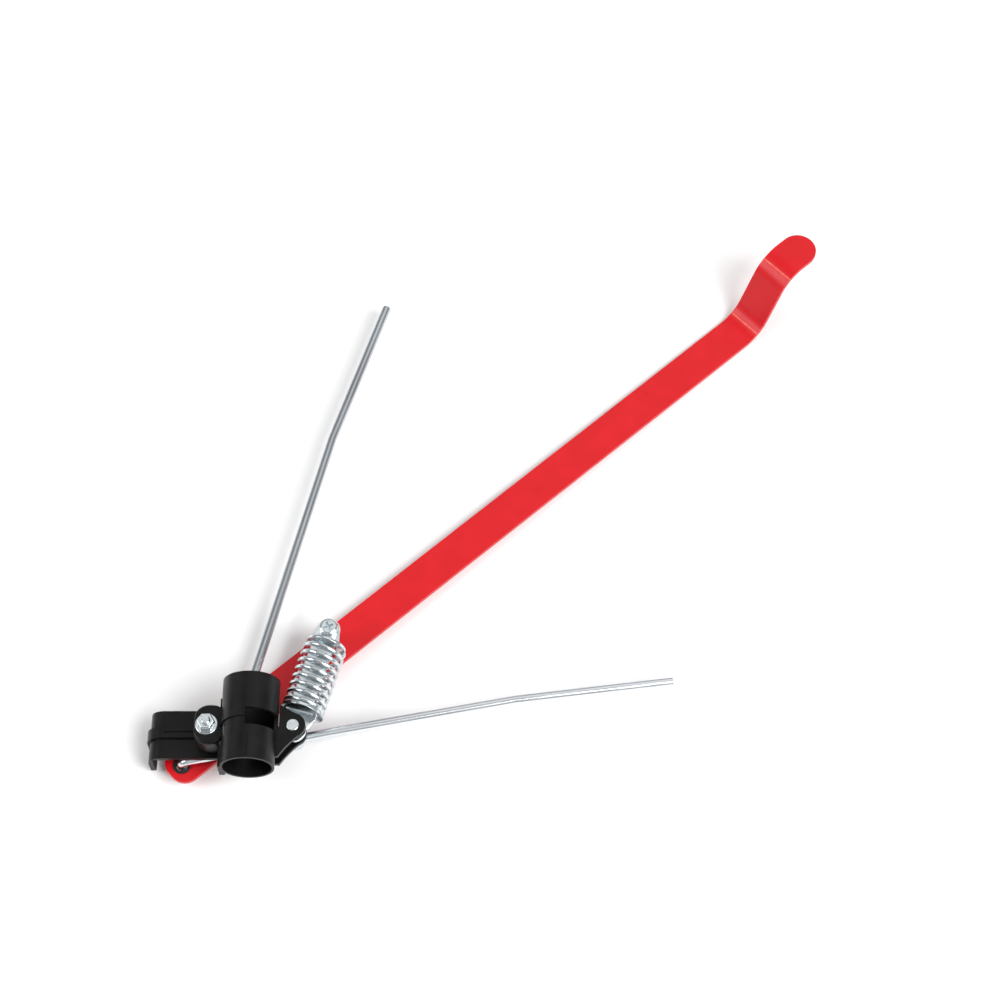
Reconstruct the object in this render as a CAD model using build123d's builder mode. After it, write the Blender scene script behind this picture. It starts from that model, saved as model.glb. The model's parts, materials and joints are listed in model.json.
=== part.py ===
"""Hand-levered rod spreader on a tube collar: a long flat lever, a toggle spring strut and two wire rods.

Millimetres. The origin is the centre of the collar's bore, +Y runs along the bore,
+X points to the strut's side and +Z points up, away from the lever.
"""

import math
import os

from build123d import *

# ---- Driving dimensions -------------------------------------------------------------------------

# Collar and its two mouldings
BORE_R = 15.5
COLLAR_R = 18.0
FRONT_R = 17.0
COLLAR_HALF = 29.0
SEAM_Y = -1.0
WINDOW_Y = (-6.5, 4.5)
WINDOW_X = -1.2

# Heights, all measured from the lever's upper face
LEVER_TOP = -28.5
LEVER_T = 3.0
ROD_Z = 5.0
BASE_Z = 8.7
BASE_T = 3.0
BOSS_Z = 28.5
LOWER_EAR_Z = 12.0
UPPER_EAR_Z = 25.0
STRUT_Z = 21.0

# Places in plan
PIVOT = (-27.0, 0.0)
EAR_PIN = (27.0, 0.0)
LEVER_ANGLE = 41.7
TAIL_HOLE = 24.0
EYE_AT = 100.7
EYE_SIDE = 2.0

# Lever
BAR_W = 25.0
TAIL_TIP = 33.3
TAIL_CORNER_R = 10.5
FIRST_BEND = 480.2
BEND_RUN = 23.0
PAD_RISE = 49.0
PAD_TIP = 537.8
BEND_R = 20.0

# Rods
ROD_R = 3.0
SWING_KNEE_X = 45.0
SWING_BEND = (167.0, 27.2)
SWING_TIP = (269.5, 40.2)
FIXED_START = (-11.8, 4.0)
FIXED_BEND = (42.4, 222.6)
FIXED_TIP = (77.1, 330.4)
ROD_BEND_R = 60.0
KNEE_R = 400.0
HOOK_R = 4.5
HOOK_BELOW = 3.0
TIP_ROUND = 0.8

# Fasteners
M6_R = 3.0
FIT = 0.05
HEX_AF = 10.0
PIN_R = 4.0

# Spring strut, measured along the line from the ear pin to the lever's eye
SPRING_R = 14.0
SPRING_WIRE = 3.0
SPRING_TURNS = 8.5
SEAT_LOW = 12.0
SEAT_T = 2.0
SEAT_HIGH = 60.0
SPRING_SHIFT = 1.5
PLATE_T = 2.6
PLATE_W = 15.0
SHOULDER_W = 22.0
UPPER_SHOULDER_W = 19.0
SHOULDER_L = 2.0
SEAT_SLOT_PLAY = 2.4
PLATE_GAP = 0.2


def height(above_lever):
    """Row height of a level given above the lever's upper face."""
    return LEVER_TOP + above_lever


def along_lever(distance, side=0.0):
    """Plan point at a distance from the pivot along the lever, and to the left of its centre line."""
    turn = math.radians(LEVER_ANGLE)
    return (
        PIVOT[0] + distance * math.cos(turn) - side * math.sin(turn),
        PIVOT[1] + distance * math.sin(turn) + side * math.cos(turn),
    )


def level(above_lever, at=(0, 0), turn=0.0):
    """Work plane parallel to the lever, at a height, a plan point and a turn."""
    angle = math.radians(turn)
    return Plane(
        origin=(at[0], at[1], height(above_lever)),
        x_dir=(math.cos(angle), math.sin(angle), 0),
        z_dir=(0, 0, 1),
    )


EYE = along_lever(EYE_AT, EYE_SIDE)
TAIL = along_lever(-TAIL_HOLE)
STRUT_LENGTH = math.dist(EAR_PIN, EYE)
STRUT_ANGLE = math.degrees(math.atan2(EYE[1] - EAR_PIN[1], EYE[0] - EAR_PIN[0]))

# ---- Collar mouldings ---------------------------------------------------------------------------

STRAP_X = -65.8
STRAP_Y = (-16.0, 16.5)
STRAP_BEND_R = 9.0
STRAP_LAP = 4.0
LIP_FOOT = 1.2
LIP_TAPER = 6.0
LIP_EDGE_R = 1.4
LIP_Z = -8.5
RIB_Y = (-2.5, 5.0)
RIB_T = 1.8
RIB_ROOT = 1.5
RIB_TURN = 5.3
RIB_LAP = 2.0
GROOVE_W = 1.4
GROOVE_DEPTH = 0.8
GROOVE_SHORT = 12.0
GROOVE_SHIFT = 4.0
BOSS_CORNER_R = 9.0
BOSS_EDGE_R = 2.0
BOSS_X = (-35.2, -15.0)
BOSS_Y = (-13.0, 14.0)
BASE_X = 9.0
SOCKET_W = 10.2
SOCKET_L = 24.0
SOCKET_Z = 1.2
SOCKET_LAP = 1.5
REAR_PARTING_Z = 18.0
REAR_PARTING_H = 12.0
REAR_PARTING_W = 1.6
FRONT_PARTING_Z = 14.0
FRONT_PARTING_H = 14.0
FRONT_PARTING_W = 3.6
FRONT_PARTING_Y = (-28.0, -14.0)
MARK_AT = (1.0, -21.0)
MARK_W = 0.7
MARK_L = 14.0
MARK_DEPTH = 0.6
RUN_OUT = 2.0
FIXED_ANGLE = math.degrees(
    math.atan2(FIXED_BEND[1] - FIXED_START[1], FIXED_BEND[0] - FIXED_START[0])
)
STRAP_TOP = height(BASE_Z + BASE_T)

with BuildPart() as sleeve_rear:
    # Boss round the pivot bolt
    with BuildSketch(level(BASE_Z)):
        with Locations(((BOSS_X[0] + BOSS_X[1]) / 2, (BOSS_Y[0] + BOSS_Y[1]) / 2)):
            RectangleRounded(BOSS_X[1] - BOSS_X[0], BOSS_Y[1] - BOSS_Y[0], BOSS_CORNER_R)
    extrude(amount=BOSS_Z - BASE_Z)
    fillet(
        sleeve_rear.faces()
        .filter_by(Plane.XY)
        .filter_by_position(Axis.Z, height(BOSS_Z) - 0.1, height(BOSS_Z) + 0.1)
        .edges(),
        BOSS_EDGE_R,
    )
    # Tube of the collar behind the seam
    with BuildSketch(Plane.XZ.offset(-SEAM_Y)):
        Circle(COLLAR_R)
    extrude(amount=-(COLLAR_HALF - SEAM_Y))
    # Base plate under the tube
    with BuildSketch(level(BASE_Z)):
        with Locations(((BOSS_X[0] + BASE_X) / 2, (BOSS_Y[1] + SEAM_Y) / 2)):
            Rectangle(BASE_X - BOSS_X[0], BOSS_Y[1] - SEAM_Y)
    extrude(amount=BASE_T)
    # Saddle strap with its turned-down end
    with BuildSketch(Plane.XZ.offset(-STRAP_Y[1])):
        with BuildLine():
            Polyline(
                (BOSS_X[0] + STRAP_LAP, STRAP_TOP),
                (STRAP_X, STRAP_TOP),
                (STRAP_X, height(LIP_Z)),
                (STRAP_X + BASE_T + LIP_FOOT, height(LIP_Z)),
                (STRAP_X + BASE_T, height(LIP_Z) + LIP_TAPER),
                (STRAP_X + BASE_T, STRAP_TOP - BASE_T),
                (BOSS_X[0] + STRAP_LAP, STRAP_TOP - BASE_T),
                close=True,
            )
        make_face()
        strap_outer = vertices().group_by(Axis.X)[0].sort_by(Axis.Y)[-1]
        strap_inner = vertices().group_by(Axis.X)[1].sort_by(Axis.Y)[-1]
        fillet(strap_outer, STRAP_BEND_R)
        fillet(strap_inner, STRAP_BEND_R - BASE_T)
        fillet(vertices().group_by(Axis.Y)[0], LIP_EDGE_R)
    extrude(amount=STRAP_Y[1] - STRAP_Y[0])
    # Strap's tongue, under the boss and in front of the seam
    with BuildSketch(level(BASE_Z)):
        with Locations(((BOSS_X[0] + BOSS_X[1]) / 2 + 1, (STRAP_Y[0] + STRAP_Y[1]) / 2)):
            Rectangle(BOSS_X[1] - BOSS_X[0] - 2, STRAP_Y[1] - STRAP_Y[0])
    extrude(amount=BASE_T)
    # Stiffening rib along the outside of the strap
    with BuildSketch(Plane.XZ.offset(-RIB_Y[1])):
        with BuildLine():
            Polyline(
                (BOSS_X[0] + RIB_LAP, STRAP_TOP + RIB_T),
                (STRAP_X - RIB_T, STRAP_TOP + RIB_T),
                (STRAP_X - RIB_T, height(LIP_Z) + 2),
                (STRAP_X + RIB_ROOT, height(LIP_Z) + 1),
                (STRAP_X + RIB_ROOT, STRAP_TOP - STRAP_BEND_R),
                (STRAP_X + STRAP_BEND_R - RIB_TURN, STRAP_TOP - STRAP_BEND_R + RIB_TURN),
                (STRAP_X + STRAP_BEND_R, STRAP_TOP - RIB_ROOT),
                (BOSS_X[0] + RIB_LAP, STRAP_TOP - RIB_ROOT),
                close=True,
            )
        make_face()
        rib_outer = vertices().group_by(Axis.X)[0].sort_by(Axis.Y)[-1]
        fillet(rib_outer, STRAP_BEND_R + RIB_T)
    extrude(amount=RIB_Y[1] - RIB_Y[0])
    # Groove along the rib
    with BuildSketch(level(BASE_Z + BASE_T + RIB_T)):
        with Locations(((STRAP_X + BOSS_X[0]) / 2 + GROOVE_SHIFT, (RIB_Y[0] + RIB_Y[1]) / 2)):
            Rectangle(BOSS_X[0] - STRAP_X - GROOVE_SHORT, GROOVE_W)
    extrude(amount=-GROOVE_DEPTH, mode=Mode.SUBTRACT)
    # Socket that holds the fixed rod under the base
    with BuildSketch(level(SOCKET_Z, FIXED_START, FIXED_ANGLE)):
        with Locations((SOCKET_L / 2 - SOCKET_LAP, 0)):
            Rectangle(SOCKET_L, SOCKET_W)
    extrude(amount=BASE_Z - SOCKET_Z + SOCKET_LAP)
    # Parting rib down the collar's side
    with BuildSketch(level(REAR_PARTING_Z)):
        with Locations((-COLLAR_R, (COLLAR_HALF - REAR_PARTING_H + SEAM_Y) / 2)):
            Rectangle(REAR_PARTING_W, COLLAR_HALF - REAR_PARTING_H - SEAM_Y)
    extrude(amount=REAR_PARTING_H)
    # Room for the front moulding, bore, window, bolt hole and rod hole
    with BuildSketch(Plane.XZ.offset(-SEAM_Y)):
        Circle(FRONT_R + 0.1)
    extrude(amount=COLLAR_HALF + SEAM_Y + 1, mode=Mode.SUBTRACT)
    with BuildSketch(Plane.XZ.offset(-COLLAR_HALF - 1)):
        Circle(BORE_R)
    extrude(amount=2 * COLLAR_HALF + 2, mode=Mode.SUBTRACT)
    with BuildSketch(Plane.XY.offset(0.5)):
        with Locations(((WINDOW_X + COLLAR_R + RUN_OUT) / 2, (WINDOW_Y[0] + WINDOW_Y[1]) / 2)):
            Rectangle(COLLAR_R + RUN_OUT - WINDOW_X, WINDOW_Y[1] - WINDOW_Y[0])
    extrude(amount=COLLAR_R, mode=Mode.SUBTRACT)
    with BuildSketch(level(BASE_Z - 1)):
        with Locations(PIVOT):
            Circle(M6_R + FIT)
    extrude(amount=BOSS_Z, mode=Mode.SUBTRACT)
    with BuildSketch(
        Plane(
            origin=(FIXED_START[0], FIXED_START[1], height(ROD_Z)),
            z_dir=(math.cos(math.radians(FIXED_ANGLE)), math.sin(math.radians(FIXED_ANGLE)), 0),
        )
    ):
        Circle(ROD_R + FIT)
    extrude(amount=SOCKET_L + 2, mode=Mode.SUBTRACT)

EAR_R = 8.0
EAR_FRONT = -21.0
EAR_REAR = 14.0
EAR_ROOT = COLLAR_R + 0.5
EAR_HOLLOW = 60.0
EAR_REAR_TANGENT = (1.5, 7.8)
EAR_FRONT_TANGENT = (5.5, -5.6)

EAR_HOLLOW_START = (EAR_PIN[0] + EAR_FRONT_TANGENT[0], EAR_PIN[1] + EAR_FRONT_TANGENT[1])

# Plan outline of one ear: a round eye, and a hollow front edge back to the collar
with BuildSketch() as ear_outline:
    with BuildLine():
        Polyline(
            (EAR_ROOT, EAR_FRONT),
            (EAR_ROOT, EAR_REAR),
            (EAR_PIN[0] + EAR_REAR_TANGENT[0], EAR_PIN[1] + EAR_REAR_TANGENT[1]),
            EAR_HOLLOW_START,
        )
        RadiusArc(EAR_HOLLOW_START, (EAR_ROOT, EAR_FRONT), -EAR_HOLLOW)
    make_face()
    with Locations(EAR_PIN):
        Circle(EAR_R)
    with Locations((EAR_ROOT / 2, (EAR_FRONT + SEAM_Y) / 2)):
        Rectangle(EAR_ROOT + 0.2, SEAM_Y - EAR_FRONT)

with BuildPart() as sleeve_front:
    # Tube of the collar in front of the seam
    with BuildSketch(Plane.XZ.offset(-SEAM_Y)):
        Circle(FRONT_R)
    extrude(amount=COLLAR_HALF + SEAM_Y)
    # Two ears that carry the strut's pin
    with BuildSketch(level(LOWER_EAR_Z)):
        add(ear_outline.sketch)
    extrude(amount=BASE_T)
    with BuildSketch(level(UPPER_EAR_Z)):
        add(ear_outline.sketch)
    extrude(amount=BASE_T)
    # Parting rib down the collar's side
    with BuildSketch(level(FRONT_PARTING_Z)):
        with Locations((-FRONT_R, (FRONT_PARTING_Y[0] + FRONT_PARTING_Y[1]) / 2)):
            Rectangle(FRONT_PARTING_W, FRONT_PARTING_Y[1] - FRONT_PARTING_Y[0])
    extrude(amount=FRONT_PARTING_H)
    # Bore, pin holes, the shallow mark on top of the tube and the window
    with BuildSketch(Plane.XZ.offset(-SEAM_Y - 1)):
        Circle(BORE_R)
    extrude(amount=COLLAR_HALF + 10, mode=Mode.SUBTRACT)
    with BuildSketch(level(LOWER_EAR_Z - 1)):
        with Locations(EAR_PIN):
            Circle(PIN_R + FIT)
    extrude(amount=COLLAR_R + 5, mode=Mode.SUBTRACT)
    with BuildSketch(Plane.XY.offset(FRONT_R)):
        with Locations(MARK_AT):
            Rectangle(MARK_W, MARK_L)
    extrude(amount=-MARK_DEPTH, mode=Mode.SUBTRACT)
    with BuildSketch(Plane.XY.offset(0.5)):
        with Locations(((WINDOW_X + COLLAR_R + RUN_OUT) / 2, (WINDOW_Y[0] + WINDOW_Y[1]) / 2)):
            Rectangle(COLLAR_R + RUN_OUT - WINDOW_X, WINDOW_Y[1] - WINDOW_Y[0])
    extrude(amount=COLLAR_R, mode=Mode.SUBTRACT)

with BuildPart() as fixed_rod:
    with BuildLine() as fixed_line:
        FilletPolyline(
            (*FIXED_START, height(ROD_Z)),
            (*FIXED_BEND, height(ROD_Z)),
            (*FIXED_TIP, height(ROD_Z)),
            radius=ROD_BEND_R,
        )
    with BuildSketch(Plane(origin=fixed_line.line @ 0, z_dir=fixed_line.line % 0)):
        Circle(ROD_R)
    sweep()
    fillet(fixed_rod.edges().sort_by(Axis.Y)[-1], TIP_ROUND)

# ---- Pivot fasteners ----------------------------------------------------------------------------

WASHER_T = 1.2
BOLT_HEAD = 4.0
BOLT_END = BOSS_Z + 7.8
FLANGE_T = 1.3
EYE_NUT_H = 5.0
WASHER_R = 6.0
NUT_H = 6.0
FLANGE_R = 7.1
SLEEVE_R = 4.5
CORNER_R = HEX_AF / math.sqrt(3)

with BuildPart() as pivot_bolt:
    with BuildSketch(level(-LEVER_T - WASHER_T - BOLT_HEAD, PIVOT)):
        RegularPolygon(CORNER_R, 6)
    extrude(amount=BOLT_HEAD)
    chamfer(pivot_bolt.faces().sort_by(Axis.Z)[0].edges(), 0.6)
    with BuildSketch(level(-LEVER_T - WASHER_T, PIVOT)):
        Circle(M6_R)
    extrude(amount=LEVER_T + WASHER_T + BOLT_END)
    chamfer(pivot_bolt.edges().sort_by(Axis.Z)[-1], 0.7)

with BuildPart() as pivot_washer:
    with BuildSketch(level(-LEVER_T - WASHER_T, PIVOT)):
        Circle(WASHER_R)
        Circle(M6_R + FIT, mode=Mode.SUBTRACT)
    extrude(amount=WASHER_T - FIT)

with BuildPart() as pivot_sleeve:
    with BuildSketch(level(FIT, PIVOT)):
        Circle(SLEEVE_R)
        Circle(M6_R + FIT, mode=Mode.SUBTRACT)
    extrude(amount=BASE_Z - FIT)

with BuildPart() as flange_nut:
    with BuildSketch(level(BOSS_Z, PIVOT)):
        Circle(FLANGE_R)
    extrude(amount=FLANGE_T)
    fillet(flange_nut.edges().sort_by(Axis.Z)[-1], 0.5)
    with BuildSketch(level(BOSS_Z + 1, PIVOT)):
        RegularPolygon(CORNER_R, 6)
    extrude(amount=NUT_H - 1)
    chamfer(flange_nut.faces().sort_by(Axis.Z)[-1].edges(), 0.6)
    with BuildSketch(level(BOSS_Z, PIVOT)):
        Circle(M6_R + FIT)
    extrude(amount=NUT_H, mode=Mode.SUBTRACT)

# ---- Lever --------------------------------------------------------------------------------------

BEND_TURN = math.atan2(PAD_RISE, BEND_RUN)
BEND_STEP = LEVER_T * math.tan(BEND_TURN / 2)
SECOND_BEND = FIRST_BEND + BEND_RUN
LEVER_DIR = (math.cos(math.radians(LEVER_ANGLE)), math.sin(math.radians(LEVER_ANGLE)), 0)
LEVER_SIDE = Plane(
    origin=(*PIVOT, LEVER_TOP),
    x_dir=LEVER_DIR,
    z_dir=(LEVER_DIR[1], -LEVER_DIR[0], 0),
)
BUSH_R = 5.0
BUSH_LIP = 0.8
BUSH_BELOW = 0.6

with BuildPart() as lever:
    # Side profile of the bent bar, across its full width
    with BuildSketch(LEVER_SIDE):
        with BuildLine():
            Polyline(
                (-TAIL_TIP, 0),
                (FIRST_BEND, 0),
                (SECOND_BEND, PAD_RISE),
                (PAD_TIP, PAD_RISE),
                (PAD_TIP, PAD_RISE - LEVER_T),
                (SECOND_BEND + BEND_STEP, PAD_RISE - LEVER_T),
                (FIRST_BEND + BEND_STEP, -LEVER_T),
                (-TAIL_TIP, -LEVER_T),
                close=True,
            )
        make_face()
        corners = vertices().sort_by(Axis.X)
        fillet([corners[2], corners[5]], BEND_R)
        below = FIRST_BEND + BEND_STEP
        fillet(vertices().filter_by_position(Axis.X, below - 0.01, below + 0.01), BEND_R + LEVER_T)
        above = SECOND_BEND
        fillet(vertices().filter_by_position(Axis.X, above - 0.01, above + 0.01), BEND_R + LEVER_T)
    extrude(amount=BAR_W / 2 + 1, both=True)
    # Plan outline with rounded ends
    with BuildSketch(level(-LEVER_T - 1, PIVOT, LEVER_ANGLE)):
        with Locations(((PAD_TIP - TAIL_TIP) / 2, 0)):
            Rectangle(PAD_TIP + TAIL_TIP, BAR_W)
        fillet(vertices().group_by(Axis.X)[0], TAIL_CORNER_R)
        fillet(vertices().group_by(Axis.X)[-1], BAR_W / 2 - 0.05)
    extrude(amount=PAD_RISE + LEVER_T + 5, mode=Mode.INTERSECT)
    # Holes for the pivot bolt, the tail bush and the eye screw
    with BuildSketch(level(-LEVER_T - 1, PIVOT, LEVER_ANGLE)):
        with Locations((0, 0), (EYE_AT, EYE_SIDE)):
            Circle(M6_R + FIT)
        with Locations((-TAIL_HOLE, 0)):
            Circle(BUSH_R)
    extrude(amount=LEVER_T + 2, mode=Mode.SUBTRACT)

with BuildPart() as tail_bush:
    with BuildSketch(level(-LEVER_T - BUSH_BELOW, TAIL)):
        Circle(BUSH_R)
    extrude(amount=LEVER_T + BUSH_BELOW)
    with BuildSketch(level(0, TAIL)):
        Circle(BUSH_R + BUSH_LIP)
    extrude(amount=BUSH_LIP)
    fillet(tail_bush.edges().sort_by(Axis.Z)[-1], 0.5)
    with BuildSketch(level(-LEVER_T - 1, TAIL)):
        Circle(ROD_R + 0.8)
    extrude(amount=LEVER_T + 3, mode=Mode.SUBTRACT)

# ---- Post, screw and nut at the lever's eye -----------------------------------------------------

POST_R = 5.5
EYE_PLATE_Z = STRUT_Z + PLATE_GAP
EYE_TOP = EYE_PLATE_Z + PLATE_T + 0.1
HEAD_R = 6.35
HEAD_H = 3.9
HEAD_DOME_R = 2.4
SCREW_BELOW = 6.5
CROSS_W = 1.5
CROSS_L = 6.4
CROSS_DEPTH = 2.2
CROSS_TURN = 20.0
CROSS_TAPER = 12.0

with BuildPart() as eye_post:
    with BuildSketch(level(0, EYE)):
        Circle(POST_R)
        Circle(M6_R + FIT, mode=Mode.SUBTRACT)
    extrude(amount=EYE_PLATE_Z - FIT)

with BuildPart() as eye_washer:
    with BuildSketch(level(EYE_TOP, EYE)):
        Circle(HEAD_R)
        Circle(M6_R + FIT, mode=Mode.SUBTRACT)
    extrude(amount=WASHER_T)

with BuildPart() as eye_screw:
    with BuildSketch(level(-LEVER_T - SCREW_BELOW, EYE)):
        Circle(M6_R)
    extrude(amount=LEVER_T + SCREW_BELOW + EYE_TOP + WASHER_T)
    chamfer(eye_screw.edges().sort_by(Axis.Z)[0], 0.7)
    with BuildSketch(level(EYE_TOP + WASHER_T, EYE)):
        Circle(HEAD_R)
    extrude(amount=HEAD_H)
    fillet(eye_screw.edges().sort_by(Axis.Z)[-1], HEAD_DOME_R)
    # Cross recess
    with BuildSketch(level(EYE_TOP + WASHER_T + HEAD_H, EYE, CROSS_TURN)):
        Rectangle(CROSS_L, CROSS_W)
        Rectangle(CROSS_W, CROSS_L)
    extrude(amount=-CROSS_DEPTH, taper=CROSS_TAPER, mode=Mode.SUBTRACT)

with BuildPart() as eye_nut:
    with BuildSketch(level(-LEVER_T - EYE_NUT_H, EYE)):
        RegularPolygon(CORNER_R, 6)
        Circle(M6_R + FIT, mode=Mode.SUBTRACT)
    extrude(amount=EYE_NUT_H)

# ---- Spring strut -------------------------------------------------------------------------------

LOWER_END = 48.0
UPPER_END = 20.0
EYE_R = 7.6
SLOT_HALF = PLATE_T + 0.9


def strut_plane(along, shift=0.0):
    """Plane square to the strut, at a distance from the ear pin; its Y axis points up."""
    angle = math.radians(STRUT_ANGLE)
    run = (math.cos(angle), math.sin(angle))
    side = (run[1], -run[0])
    return Plane(
        origin=(
            EAR_PIN[0] + along * run[0] + shift * side[0],
            EAR_PIN[1] + along * run[1] + shift * side[1],
            height(STRUT_Z),
        ),
        x_dir=(side[0], side[1], 0),
        z_dir=(run[0], run[1], 0),
    )


with BuildPart() as strut_lower:
    with BuildSketch(level(STRUT_Z - PLATE_GAP - PLATE_T, EAR_PIN, STRUT_ANGLE)):
        Circle(EAR_R)
        with BuildLine():
            Polyline(
                (2, EAR_R - 0.6),
                (SEAT_LOW - SHOULDER_L, SHOULDER_W / 2),
                (SEAT_LOW, SHOULDER_W / 2),
                (SEAT_LOW, PLATE_W / 2),
                (LOWER_END, PLATE_W / 2),
                (LOWER_END, -PLATE_W / 2),
                (SEAT_LOW, -PLATE_W / 2),
                (SEAT_LOW, -SHOULDER_W / 2),
                (SEAT_LOW - SHOULDER_L, -SHOULDER_W / 2),
                (2, -EAR_R + 0.6),
                close=True,
            )
        make_face()
        Circle(PIN_R + FIT, mode=Mode.SUBTRACT)
    extrude(amount=PLATE_T)
    fillet(strut_lower.edges().filter_by(Axis.Z).group_by(Axis.Y)[-1], 2.0)

with BuildPart() as strut_upper:
    with BuildSketch(level(EYE_PLATE_Z, EAR_PIN, STRUT_ANGLE)):
        with Locations((STRUT_LENGTH, 0)):
            Circle(EYE_R)
        with BuildLine():
            Polyline(
                (STRUT_LENGTH, EYE_R),
                (SEAT_HIGH + SEAT_T + SHOULDER_L, UPPER_SHOULDER_W / 2),
                (SEAT_HIGH + SEAT_T, UPPER_SHOULDER_W / 2),
                (SEAT_HIGH + SEAT_T, PLATE_W / 2),
                (UPPER_END, PLATE_W / 2),
                (UPPER_END, -PLATE_W / 2),
                (SEAT_HIGH + SEAT_T, -PLATE_W / 2),
                (SEAT_HIGH + SEAT_T, -UPPER_SHOULDER_W / 2),
                (SEAT_HIGH + SEAT_T + SHOULDER_L, -UPPER_SHOULDER_W / 2),
                (STRUT_LENGTH, -EYE_R),
                close=True,
            )
        make_face()
        with Locations((STRUT_LENGTH, 0)):
            Circle(M6_R + FIT, mode=Mode.SUBTRACT)
    extrude(amount=PLATE_T)

with BuildPart() as spring_seat_lower:
    with BuildSketch(strut_plane(SEAT_LOW + FIT, SPRING_SHIFT)):
        Circle(SPRING_R)
        with Locations((-SPRING_SHIFT, 0)):
            Rectangle(PLATE_W + SEAT_SLOT_PLAY, 2 * SLOT_HALF, mode=Mode.SUBTRACT)
    extrude(amount=SEAT_T - 2 * FIT)

with BuildPart() as spring_seat_upper:
    with BuildSketch(strut_plane(SEAT_HIGH + FIT, SPRING_SHIFT)):
        Circle(SPRING_R - 1)
        with Locations((-SPRING_SHIFT, 0)):
            Rectangle(PLATE_W + SEAT_SLOT_PLAY, 2 * SLOT_HALF, mode=Mode.SUBTRACT)
    extrude(amount=SEAT_T - 2 * FIT)

SPRING_BASE = SEAT_LOW + SEAT_T + SPRING_WIRE / 2 + 0.1
SPRING_SPAN = SEAT_HIGH - SPRING_WIRE / 2 - 0.1 - SPRING_BASE

with BuildPart() as spring:
    spring_plane = strut_plane(SPRING_BASE, SPRING_SHIFT)
    with BuildLine() as coil:
        Helix(
            pitch=SPRING_SPAN / SPRING_TURNS,
            height=SPRING_SPAN,
            radius=SPRING_R - SPRING_WIRE / 2,
            center=spring_plane.origin,
            direction=spring_plane.z_dir,
        )
    with BuildSketch(Plane(origin=coil.line @ 0, z_dir=coil.line % 0)):
        Circle(SPRING_WIRE / 2)
    sweep(is_frenet=True)

# ---- Swivel pin and swinging rod ----------------------------------------------------------------

SWIVEL_R = 6.0
SWIVEL_BASE = 0.8
SWIVEL_TOP = BASE_Z - 0.1
PIN_PROUD = 0.6
SPACER_R = 6.5
SWIVEL_TURN = math.degrees(math.atan2(EAR_PIN[1] - TAIL[1], EAR_PIN[0] - TAIL[0]))
SWING_DIR = (math.cos(math.radians(SWIVEL_TURN)), math.sin(math.radians(SWIVEL_TURN)), 0)

SWING_KNEE_Y = EAR_PIN[1] + (SWING_KNEE_X - EAR_PIN[0]) * SWING_DIR[1] / SWING_DIR[0]

with BuildPart() as swivel_pin:
    with BuildSketch(level(SWIVEL_BASE, EAR_PIN)):
        Circle(SWIVEL_R)
    extrude(amount=SWIVEL_TOP - SWIVEL_BASE)
    with BuildSketch(level(SWIVEL_TOP, EAR_PIN)):
        Circle(PIN_R)
    extrude(amount=UPPER_EAR_Z + BASE_T + PIN_PROUD - SWIVEL_TOP)
    fillet(swivel_pin.edges().sort_by(Axis.Z)[-1], 0.5)
    with BuildSketch(
        Plane(origin=(EAR_PIN[0], EAR_PIN[1], height(ROD_Z)), z_dir=SWING_DIR)
    ):
        Circle(ROD_R + FIT)
    extrude(amount=SWIVEL_R + 1, both=True, mode=Mode.SUBTRACT)

with BuildPart() as pin_spacer_lower:
    with BuildSketch(level(LOWER_EAR_Z + BASE_T + FIT, EAR_PIN)):
        Circle(SPACER_R)
        Circle(PIN_R + FIT, mode=Mode.SUBTRACT)
    extrude(amount=STRUT_Z - PLATE_GAP - PLATE_T - LOWER_EAR_Z - BASE_T - 2 * FIT)

with BuildPart() as pin_spacer_upper:
    with BuildSketch(level(STRUT_Z - PLATE_GAP + FIT, EAR_PIN)):
        Circle(SPACER_R)
        Circle(PIN_R + FIT, mode=Mode.SUBTRACT)
    extrude(amount=UPPER_EAR_Z - STRUT_Z + PLATE_GAP - 2 * FIT)

with BuildPart() as swing_rod:
    with BuildLine() as swing_line:
        FilletPolyline(
            (*TAIL, height(-LEVER_T - HOOK_BELOW)),
            (*TAIL, height(ROD_Z)),
            (SWING_KNEE_X, SWING_KNEE_Y, height(ROD_Z)),
            (*SWING_BEND, height(ROD_Z)),
            (*SWING_TIP, height(ROD_Z)),
            radius=[HOOK_R, KNEE_R, ROD_BEND_R],
        )
    with BuildSketch(Plane(origin=swing_line.line @ 0, z_dir=swing_line.line % 0)):
        Circle(ROD_R)
    sweep()

# ---- Write one file for each piece --------------------------------------------------------------

os.makedirs("parts", exist_ok=True)

sleeve_rear.part.label = "sleeve_rear"
sleeve_front.part.label = "sleeve_front"
fixed_rod.part.label = "fixed_rod"
pivot_bolt.part.label = "pivot_bolt"
pivot_washer.part.label = "pivot_washer"
pivot_sleeve.part.label = "pivot_sleeve"
flange_nut.part.label = "flange_nut"
lever.part.label = "lever"
tail_bush.part.label = "tail_bush"
eye_post.part.label = "eye_post"
eye_washer.part.label = "eye_washer"
eye_screw.part.label = "eye_screw"
eye_nut.part.label = "eye_nut"
strut_lower.part.label = "strut_lower"
strut_upper.part.label = "strut_upper"
spring_seat_lower.part.label = "spring_seat_lower"
spring_seat_upper.part.label = "spring_seat_upper"
spring.part.label = "spring"
swivel_pin.part.label = "swivel_pin"
pin_spacer_lower.part.label = "pin_spacer_lower"
pin_spacer_upper.part.label = "pin_spacer_upper"
swing_rod.part.label = "swing_rod"

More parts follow.
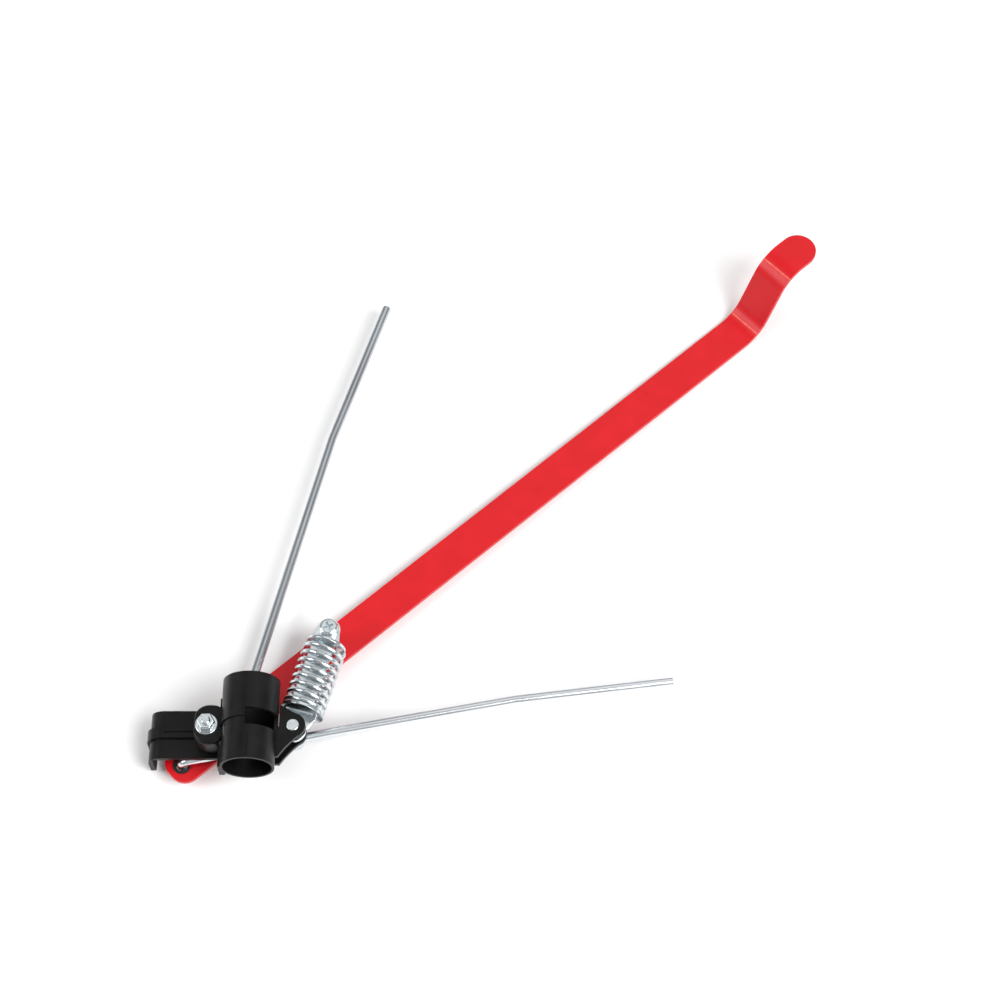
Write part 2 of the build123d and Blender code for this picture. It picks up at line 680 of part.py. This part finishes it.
export_step(sleeve_rear.part, "parts/sleeve_rear.step")
export_step(sleeve_front.part, "parts/sleeve_front.step")
export_step(fixed_rod.part, "parts/fixed_rod.step")
export_step(pivot_bolt.part, "parts/pivot_bolt.step")
export_step(pivot_washer.part, "parts/pivot_washer.step")
export_step(pivot_sleeve.part, "parts/pivot_sleeve.step")
export_step(flange_nut.part, "parts/flange_nut.step")
export_step(lever.part, "parts/lever.step")
export_step(tail_bush.part, "parts/tail_bush.step")
export_step(eye_post.part, "parts/eye_post.step")
export_step(eye_washer.part, "parts/eye_washer.step")
export_step(eye_screw.part, "parts/eye_screw.step")
export_step(eye_nut.part, "parts/eye_nut.step")
export_step(strut_lower.part, "parts/strut_lower.step")
export_step(strut_upper.part, "parts/strut_upper.step")
export_step(spring_seat_lower.part, "parts/spring_seat_lower.step")
export_step(spring_seat_upper.part, "parts/spring_seat_upper.step")
export_step(spring.part, "parts/spring.step")
export_step(swivel_pin.part, "parts/swivel_pin.step")
export_step(pin_spacer_lower.part, "parts/pin_spacer_lower.step")
export_step(pin_spacer_upper.part, "parts/pin_spacer_upper.step")
export_step(swing_rod.part, "parts/swing_rod.step")
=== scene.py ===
"""Looks of the lever rod spreader: finishes, bevelled pieces, a coil spring, a pale floor and soft light."""

import json
import math

import bmesh
import bpy
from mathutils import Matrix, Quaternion, Vector


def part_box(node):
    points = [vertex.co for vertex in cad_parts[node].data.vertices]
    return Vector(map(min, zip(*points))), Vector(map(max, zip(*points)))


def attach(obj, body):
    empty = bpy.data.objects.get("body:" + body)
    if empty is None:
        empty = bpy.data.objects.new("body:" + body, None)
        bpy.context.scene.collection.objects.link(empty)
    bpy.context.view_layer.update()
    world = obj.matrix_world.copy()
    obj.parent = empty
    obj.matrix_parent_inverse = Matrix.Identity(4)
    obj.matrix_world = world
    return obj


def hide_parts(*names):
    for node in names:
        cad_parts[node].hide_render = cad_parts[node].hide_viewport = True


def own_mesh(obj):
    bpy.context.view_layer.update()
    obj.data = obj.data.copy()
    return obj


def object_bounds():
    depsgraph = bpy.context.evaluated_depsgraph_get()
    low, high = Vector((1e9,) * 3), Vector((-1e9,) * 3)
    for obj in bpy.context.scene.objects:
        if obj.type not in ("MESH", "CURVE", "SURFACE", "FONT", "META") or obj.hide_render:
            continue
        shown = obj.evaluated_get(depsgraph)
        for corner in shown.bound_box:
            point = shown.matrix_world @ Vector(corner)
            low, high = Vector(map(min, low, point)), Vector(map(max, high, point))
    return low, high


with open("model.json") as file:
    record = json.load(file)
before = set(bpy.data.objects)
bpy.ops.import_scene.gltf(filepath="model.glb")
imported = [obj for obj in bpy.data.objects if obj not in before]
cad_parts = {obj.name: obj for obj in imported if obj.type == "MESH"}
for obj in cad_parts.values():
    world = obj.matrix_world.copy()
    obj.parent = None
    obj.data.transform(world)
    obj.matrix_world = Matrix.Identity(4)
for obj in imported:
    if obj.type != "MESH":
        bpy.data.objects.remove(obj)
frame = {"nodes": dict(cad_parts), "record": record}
cad_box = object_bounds()
record = frame["record"]
joints = {joint["name"]: joint for joint in record["behaviour"]["joints"]}
body_of = {node: body for body, nodes in record["behaviour"]["bodies"].items() for node in nodes}

MM = 0.001
PIVOT = Vector(joints["lever_pivot"]["pos_m"])
EAR_PIN = Vector(joints["strut_swing"]["pos_m"])
EYE = Vector(joints["strut_eye"]["pos_m"])
LEVER_DIR = (EYE - PIVOT).xy.normalized().to_3d()
LEVER_TURN = math.atan2(LEVER_DIR.y, LEVER_DIR.x)
FIRST_BEND = 478.6 * MM
SECOND_BEND = 504.9 * MM
BEND_START = 13.0 * MM

# Place of the lever's tail hole, back from the pivot
TAIL_BACK = (18.0 * MM, 16.0 * MM)
SWING_TURN = math.atan2(EAR_PIN.y - PIVOT.y + TAIL_BACK[1], EAR_PIN.x - PIVOT.x + TAIL_BACK[0])
FIXED_TURN = math.radians(75.8)
ALONG_ROD = (0.05, 1, 1)

# Colours, as linear red, green and blue
RED_DEEP = (0.54, 0.004, 0.008)
RED_LIGHT = (0.60, 0.006, 0.011)
# Painted highlight: a lighter red for the thin line along each bend of the lever
RED_BEND_HIGHLIGHT = (0.85, 0.20, 0.12)
NYLON_DARK = (0.0022, 0.0022, 0.0024)
NYLON_LIGHT = (0.0055, 0.0050, 0.0050)
RUBBER_DARK = (0.003, 0.003, 0.003)
RUBBER_LIGHT = (0.006, 0.006, 0.006)
LIGHT_ZINC = (0.80, 0.85, 0.87)
DARK_ZINC = (0.62, 0.68, 0.71)
# Both rods are the same zinc. The swing rod's colours are a painted highlight, lighter than the zinc. The
# fixed rod's colours are a painted shade, darker than the zinc. Together they stand in for how the light
# falls on each rod.
SWING_LIT_LIGHT = (0.86, 0.89, 0.92)
SWING_LIT_DARK = (0.74, 0.78, 0.82)
FIXED_SHADED_LIGHT = (0.60, 0.64, 0.67)
FIXED_SHADED_DARK = (0.44, 0.47, 0.50)
FLOOR_DARK = (0.90, 0.90, 0.90)
FLOOR_LIGHT = (0.92, 0.92, 0.92)

# Painted bend highlights, floor and bevels
BEND_HIGHLIGHT_HALF = 0.35 * MM
FLOOR_HALF = 6.0
FLOOR_GAP = 0.2 * MM
WELD = 0.002 * MM
FLAT_ANGLE = math.radians(1.0)
EDGE_ANGLE = math.radians(35)

# Coil spring
SEAT_T = 2.0 * MM
WIRE_R = 1.5 * MM
COIL_TURNS = 8.0
CLOSED_TURNS = 0.3
CLOSED_RISE = 2 * WIRE_R * 0.98
STEPS_PER_TURN = 48
WIRE_SIDES = 14


# ---- Node helpers -------------------------------------------------------------------------------


class Shader:
    """A material being built: one Principled surface in row coordinates."""

    def __init__(self, name, turn=0.0, origin=(0, 0, 0)):
        self.material = bpy.data.materials.new(name)
        self.material.use_nodes = True
        self.tree = self.material.node_tree
        self.surface = self.tree.nodes["Principled BSDF"]
        place = self.tree.nodes.new("ShaderNodeTexCoord")
        shift = self.add("ShaderNodeVectorMath", operation="SUBTRACT")
        shift.inputs[1].default_value = origin
        self.link(place.outputs["Object"], shift.inputs[0])
        rotate = self.add("ShaderNodeMapping")
        rotate.inputs["Rotation"].default_value = (0, 0, -turn)
        self.link(shift.outputs[0], rotate.inputs["Vector"])
        self.place = rotate.outputs["Vector"]

    def add(self, kind, **settings):
        node = self.tree.nodes.new(kind)
        for key, value in settings.items():
            setattr(node, key, value)
        return node

    def link(self, source, target):
        self.tree.links.new(source, target)

    def noise(self, scale, detail=3.0, stretch=(1, 1, 1)):
        """Grey noise with about that many features in a metre."""
        mapping = self.add("ShaderNodeMapping")
        mapping.inputs["Scale"].default_value = stretch
        self.link(self.place, mapping.inputs["Vector"])
        texture = self.add("ShaderNodeTexNoise")
        texture.inputs["Scale"].default_value = scale
        texture.inputs["Detail"].default_value = detail
        self.link(mapping.outputs["Vector"], texture.inputs["Vector"])
        return texture.outputs["Fac"]

    def spread(self, value, low, high):
        """Maps a noise's usual range to low and high."""
        node = self.add("ShaderNodeMapRange")
        node.inputs["From Min"].default_value = 0.3
        node.inputs["From Max"].default_value = 0.7
        node.inputs["To Min"].default_value = low
        node.inputs["To Max"].default_value = high
        self.link(value, node.inputs["Value"])
        return node.outputs["Result"]

    def blend(self, factor, first, second):
        """Colour between two colours or sockets."""
        node = self.add("ShaderNodeMix", data_type="RGBA")
        self.link(factor, node.inputs["Factor"])
        for value, target in ((first, node.inputs["A"]), (second, node.inputs["B"])):
            if isinstance(value, tuple):
                target.default_value = (*value, 1)
            else:
                self.link(value, target)
        return node.outputs["Result"]

    def bump(self, value, height, strength=1.0, below=None):
        """Bump of that height in metres, over another bump if there is one."""
        node = self.add("ShaderNodeBump")
        node.inputs["Strength"].default_value = strength
        node.inputs["Distance"].default_value = height
        self.link(value, node.inputs["Height"])
        if below is not None:
            self.link(below, node.inputs["Normal"])
        self.link(node.outputs["Normal"], self.surface.inputs["Normal"])
        return node.outputs["Normal"]

    def line_across(self, position, half_width):
        """1 in a narrow band across the piece at that X, 0 elsewhere."""
        split = self.add("ShaderNodeSeparateXYZ")
        self.link(self.place, split.inputs[0])
        near = self.add("ShaderNodeMath", operation="COMPARE")
        near.inputs[1].default_value = position
        near.inputs[2].default_value = half_width
        self.link(split.outputs["X"], near.inputs[0])
        return near.outputs[0]


# ---- Finishes -----------------------------------------------------------------------------------


def red_paint(bend_lines):
    """Glossy powder coat with a faint orange peel and a thin painted highlight along each of the two bends.
    """
    look = Shader("red_paint", LEVER_TURN, PIVOT)
    colour = look.blend(look.spread(look.noise(60), 0, 1), RED_DEEP, RED_LIGHT)
    # Each bend gets a thin lighter line broken by noise: a painted highlight where the bend catches the
    # light
    for position in bend_lines:
        bend_highlight = look.add("ShaderNodeMath", operation="MULTIPLY")
        look.link(look.line_across(position, BEND_HIGHLIGHT_HALF), bend_highlight.inputs[0])
        look.link(look.spread(look.noise(700), 0.2, 0.9), bend_highlight.inputs[1])
        colour = look.blend(bend_highlight.outputs[0], colour, RED_BEND_HIGHLIGHT)
    look.link(colour, look.surface.inputs["Base Color"])
    look.link(look.spread(look.noise(90), 0.30, 0.40), look.surface.inputs["Roughness"])
    look.surface.inputs["Specular IOR Level"].default_value = 0.30
    look.surface.inputs["Coat Weight"].default_value = 0.10
    look.surface.inputs["Coat Roughness"].default_value = 0.15
    peel = look.bump(look.noise(900, 2), 0.02 * MM, 0.5)
    look.bump(look.noise(160, 2), 0.06 * MM, 0.4, peel)
    return look.material


def black_plastic():
    """Satin moulded nylon: fine grain and faint flow clouds."""
    look = Shader("black_plastic")
    clouds = look.spread(look.noise(70, 4), 0, 1)
    look.link(look.blend(clouds, NYLON_DARK, NYLON_LIGHT), look.surface.inputs["Base Color"])
    look.link(look.spread(look.noise(130, 5), 0.30, 0.42), look.surface.inputs["Roughness"])
    look.surface.inputs["Specular IOR Level"].default_value = 0.24
    grain = look.bump(look.noise(3200, 2), 0.025 * MM, 0.6)
    look.bump(look.noise(240, 3), 0.10 * MM, 0.35, grain)
    return look.material


def black_rubber():
    """Matt dark rubber."""
    look = Shader("black_rubber")
    clouds = look.spread(look.noise(300, 4), 0, 1)
    look.link(look.blend(clouds, RUBBER_DARK, RUBBER_LIGHT), look.surface.inputs["Base Color"])
    look.link(look.spread(look.noise(500, 3), 0.6, 0.8), look.surface.inputs["Roughness"])
    look.bump(look.noise(2600, 2), 0.03 * MM, 0.6)
    return look.material


def bright_zinc(name, light, dark, rough, turn=0.0, stretch=(1, 1, 1)):
    """Blue-white zinc plate over steel, with cloudy crystals and fine lines along the stretch."""
    look = Shader(name, turn)
    clouds = look.spread(look.noise(260, 5, stretch), 0, 1)
    look.link(look.blend(clouds, dark, light), look.surface.inputs["Base Color"])
    look.surface.inputs["Metallic"].default_value = 1.0
    look.link(look.spread(look.noise(420, 4, stretch), *rough), look.surface.inputs["Roughness"])
    look.bump(look.noise(1500, 2, stretch), 0.012 * MM, 0.35)
    return look.material


# ---- Pieces -------------------------------------------------------------------------------------


def finish_piece(piece, node, material):
    """Puts a piece on its body and slot, in place of its CAD node."""
    piece.data.materials.clear()
    piece.data.materials.append(material)
    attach(piece, body_of[node])
    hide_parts(node)
    return piece


def bevelled(node, width, material, segments=3):
    """Copy of a CAD node with merged flats and rolled edges."""
    source = frame["nodes"][node]
    mesh = source.data.copy()
    mesh.name = node + "_body"
    work = bmesh.new()
    work.from_mesh(mesh)
    bmesh.ops.remove_doubles(work, verts=work.verts, dist=WELD)
    bmesh.ops.dissolve_limit(work, angle_limit=FLAT_ANGLE, verts=work.verts, edges=work.edges)
    work.to_mesh(mesh)
    work.free()
    piece = bpy.data.objects.new(node + "_body", mesh)
    bpy.context.collection.objects.link(piece)
    roll = piece.modifiers.new("edges", "BEVEL")
    roll.width = width
    roll.segments = segments
    roll.limit_method = "ANGLE"
    roll.angle_limit = EDGE_ANGLE
    roll.use_clamp_overlap = True
    apply_modifiers(piece)
    for face in piece.data.polygons:
        face.use_smooth = True
    smooth = piece.modifiers.new("shading", "WEIGHTED_NORMAL")
    smooth.keep_sharp = True
    return finish_piece(piece, node, material)


def apply_modifiers(piece):
    """Replaces a piece's mesh with its evaluated one."""
    graph = bpy.context.evaluated_depsgraph_get()
    result = bpy.data.meshes.new_from_object(piece.evaluated_get(graph))
    piece.modifiers.clear()
    piece.data = result


def coil_spring(material):
    """Compression spring round the strut, with its end turns closed up."""
    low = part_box("spring_seat_lower")
    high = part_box("spring_seat_upper")
    seat_low = (Vector(low[0]) + Vector(low[1])) / 2
    seat_high = (Vector(high[0]) + Vector(high[1])) / 2
    axis = (seat_high - seat_low).normalized()
    start = seat_low + axis * (SEAT_T / 2)
    length = (seat_high - seat_low).length - SEAT_T
    radius = (Vector(low[1]) - Vector(low[0])).z / 2 - WIRE_R
    side = axis.cross(Vector((0, 0, 1))).normalized()
    up = side.cross(axis).normalized()
    closed_height = CLOSED_TURNS * CLOSED_RISE
    middle = length - 2 * WIRE_R - 2 * closed_height
    points = []
    for index in range(int(COIL_TURNS * STEPS_PER_TURN) + 1):
        turn = index / STEPS_PER_TURN
        if turn < CLOSED_TURNS:
            rise = turn * CLOSED_RISE
        elif turn > COIL_TURNS - CLOSED_TURNS:
            rise = closed_height + middle + (turn - COIL_TURNS + CLOSED_TURNS) * CLOSED_RISE
        else:
            rise = closed_height + middle * (turn - CLOSED_TURNS) / (COIL_TURNS - 2 * CLOSED_TURNS)
        angle = 2 * math.pi * turn
        around = side * math.cos(angle) + up * math.sin(angle)
        points.append(start + axis * (WIRE_R + rise) + around * radius)
    return finish_piece(tube("spring_coil", points, WIRE_R, WIRE_SIDES), "spring", material)


def tube(name, points, radius, sides):
    """Closed round tube along a list of points."""
    work = bmesh.new()
    rings = []
    last = len(points) - 1
    normal = None
    for index, point in enumerate(points):
        ahead = (points[min(index + 1, last)] - points[max(index - 1, 0)]).normalized()
        if normal is None:
            normal = ahead.orthogonal().normalized()
        normal = (normal - ahead * normal.dot(ahead)).normalized()
        across = ahead.cross(normal)
        ring = []
        for side in range(sides):
            angle = 2 * math.pi * side / sides
            offset = normal * math.cos(angle) + across * math.sin(angle)
            ring.append(work.verts.new(point + offset * radius))
        rings.append(ring)
    for ring, following in zip(rings, rings[1:]):
        for side in range(sides):
            beside = (side + 1) % sides
            work.faces.new((ring[side], ring[beside], following[beside], following[side]))
    work.faces.new(list(reversed(rings[0])))
    work.faces.new(rings[-1])
    bmesh.ops.recalc_face_normals(work, faces=work.faces)
    mesh = bpy.data.meshes.new(name)
    work.to_mesh(mesh)
    work.free()
    for face in mesh.polygons:
        face.use_smooth = len(face.vertices) == 4
    piece = bpy.data.objects.new(name, mesh)
    bpy.context.collection.objects.link(piece)
    return piece


# ---- Camera, floor and light --------------------------------------------------------------------


def add_camera():
    """Camera above and in front of the collar, looking down at the lever's plane."""
    lens = 79.2
    distance = 1.493
    elevation = math.radians(61.0)
    target = Vector((0.1574, 0.1771, PIVOT.z))
    back = Vector((0, -math.cos(elevation), math.sin(elevation)))
    data = bpy.data.cameras.new("camera")
    data.lens = lens
    data.sensor_width = 36.0
    camera = bpy.data.objects.new("camera", data)
    camera.location = target + back * distance
    camera.rotation_mode = "QUATERNION"
    camera.rotation_quaternion = (-back).to_track_quat("-Z", "Y")
    bpy.context.collection.objects.link(camera)
    bpy.context.scene.camera = camera


def add_floor():
    """Large pale plane that the eye screw's end and the lever's first bend both rest on."""
    mesh = bpy.data.meshes.new("floor")
    corners = [
        (-FLOOR_HALF, -FLOOR_HALF, 0),
        (FLOOR_HALF, -FLOOR_HALF, 0),
        (FLOOR_HALF, FLOOR_HALF, 0),
        (-FLOOR_HALF, FLOOR_HALF, 0),
    ]
    mesh.from_pydata(corners, [], [(0, 1, 2, 3)])
    floor = bpy.data.objects.new("floor", mesh)
    floor.location = (EYE.x, EYE.y, cad_box[0].z - FLOOR_GAP)
    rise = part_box("lever")[0].z - cad_box[0].z
    run = FIRST_BEND - BEND_START - (EYE - PIVOT).xy.length
    floor.rotation_mode = "QUATERNION"
    floor.rotation_quaternion = Quaternion((LEVER_DIR.y, -LEVER_DIR.x, 0), math.atan2(rise, run))
    bpy.context.collection.objects.link(floor)
    look = Shader("floor")
    look.link(
        look.blend(look.spread(look.noise(3), 0, 1), FLOOR_DARK, FLOOR_LIGHT),
        look.surface.inputs["Base Color"],
    )
    look.surface.inputs["Roughness"].default_value = 0.9
    look.surface.inputs["Specular IOR Level"].default_value = 0.1
    mesh.materials.append(look.material)


def add_area(name, place, size, power):
    """Square soft light that points at the middle of the object."""
    centre = (cad_box[0] + cad_box[1]) / 2
    data = bpy.data.lights.new(name, "AREA")
    data.shape = "SQUARE"
    data.size = size
    data.energy = power
    light = bpy.data.objects.new(name, data)
    light.location = centre + Vector(place)
    light.rotation_mode = "QUATERNION"
    light.rotation_quaternion = (-Vector(place)).to_track_quat("-Z", "Y")
    bpy.context.collection.objects.link(light)


def add_light():
    """Key light from the right and front, a weak fill, a wide lamp above the back and an even surround."""
    add_area("key", (1.5, -1.1, 1.9), 1.7, 80)
    add_area("fill", (-1.9, -0.3, 1.5), 1.2, 22)
    add_area("back", (0.5, 1.25, 2.3), 2.2, 8)
    world = bpy.data.worlds.new("surround")
    world.use_nodes = True
    background = world.node_tree.nodes["Background"]
    background.inputs["Color"].default_value = (1, 1, 1, 1)
    background.inputs["Strength"].default_value = 0.38
    bpy.context.scene.world = world
    bpy.context.scene.view_settings.view_transform = "Standard"


# ---- Build --------------------------------------------------------------------------------------

add_camera()
add_floor()
add_light()

red = red_paint((FIRST_BEND, SECOND_BEND))
plastic = black_plastic()
rubber = black_rubber()
zinc = bright_zinc("bright_zinc", LIGHT_ZINC, DARK_ZINC, (0.12, 0.24))
spring_zinc = bright_zinc("spring_zinc", LIGHT_ZINC, DARK_ZINC, (0.12, 0.22))
rod_rough = (0.18, 0.30)
# Lit and shaded copies of one zinc: painted lighter on the swing rod, painted darker on the fixed rod
swing_zinc_painted_lit = bright_zinc("swing_rod_zinc_painted_lit", SWING_LIT_LIGHT, SWING_LIT_DARK, rod_rough, SWING_TURN, ALONG_ROD)
fixed_zinc_painted_shade = bright_zinc("fixed_rod_zinc_painted_shade", FIXED_SHADED_LIGHT, FIXED_SHADED_DARK, rod_rough, FIXED_TURN, ALONG_ROD)

bevelled("lever", 0.5 * MM, red)
bevelled("sleeve_rear", 0.45 * MM, plastic)
bevelled("sleeve_front", 0.45 * MM, plastic)
bevelled("tail_bush", 0.2 * MM, rubber)
for fastener in ("pivot_bolt", "flange_nut", "eye_screw", "eye_nut", "eye_washer", "pivot_washer"):
    bevelled(fastener, 0.2 * MM, zinc)
for plate in ("strut_lower", "strut_upper", "spring_seat_lower", "spring_seat_upper"):
    bevelled(plate, 0.35 * MM, zinc)
for round_piece in ("eye_post", "pivot_sleeve", "swivel_pin"):
    bevelled(round_piece, 0.3 * MM, zinc)
for spacer in ("pin_spacer_lower", "pin_spacer_upper"):
    bevelled(spacer, 0.2 * MM, plastic)
bevelled("swing_rod", 0.6 * MM, swing_zinc_painted_lit)
bevelled("fixed_rod", 0.6 * MM, fixed_zinc_painted_shade)

coil = coil_spring(spring_zinc)
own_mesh(coil)
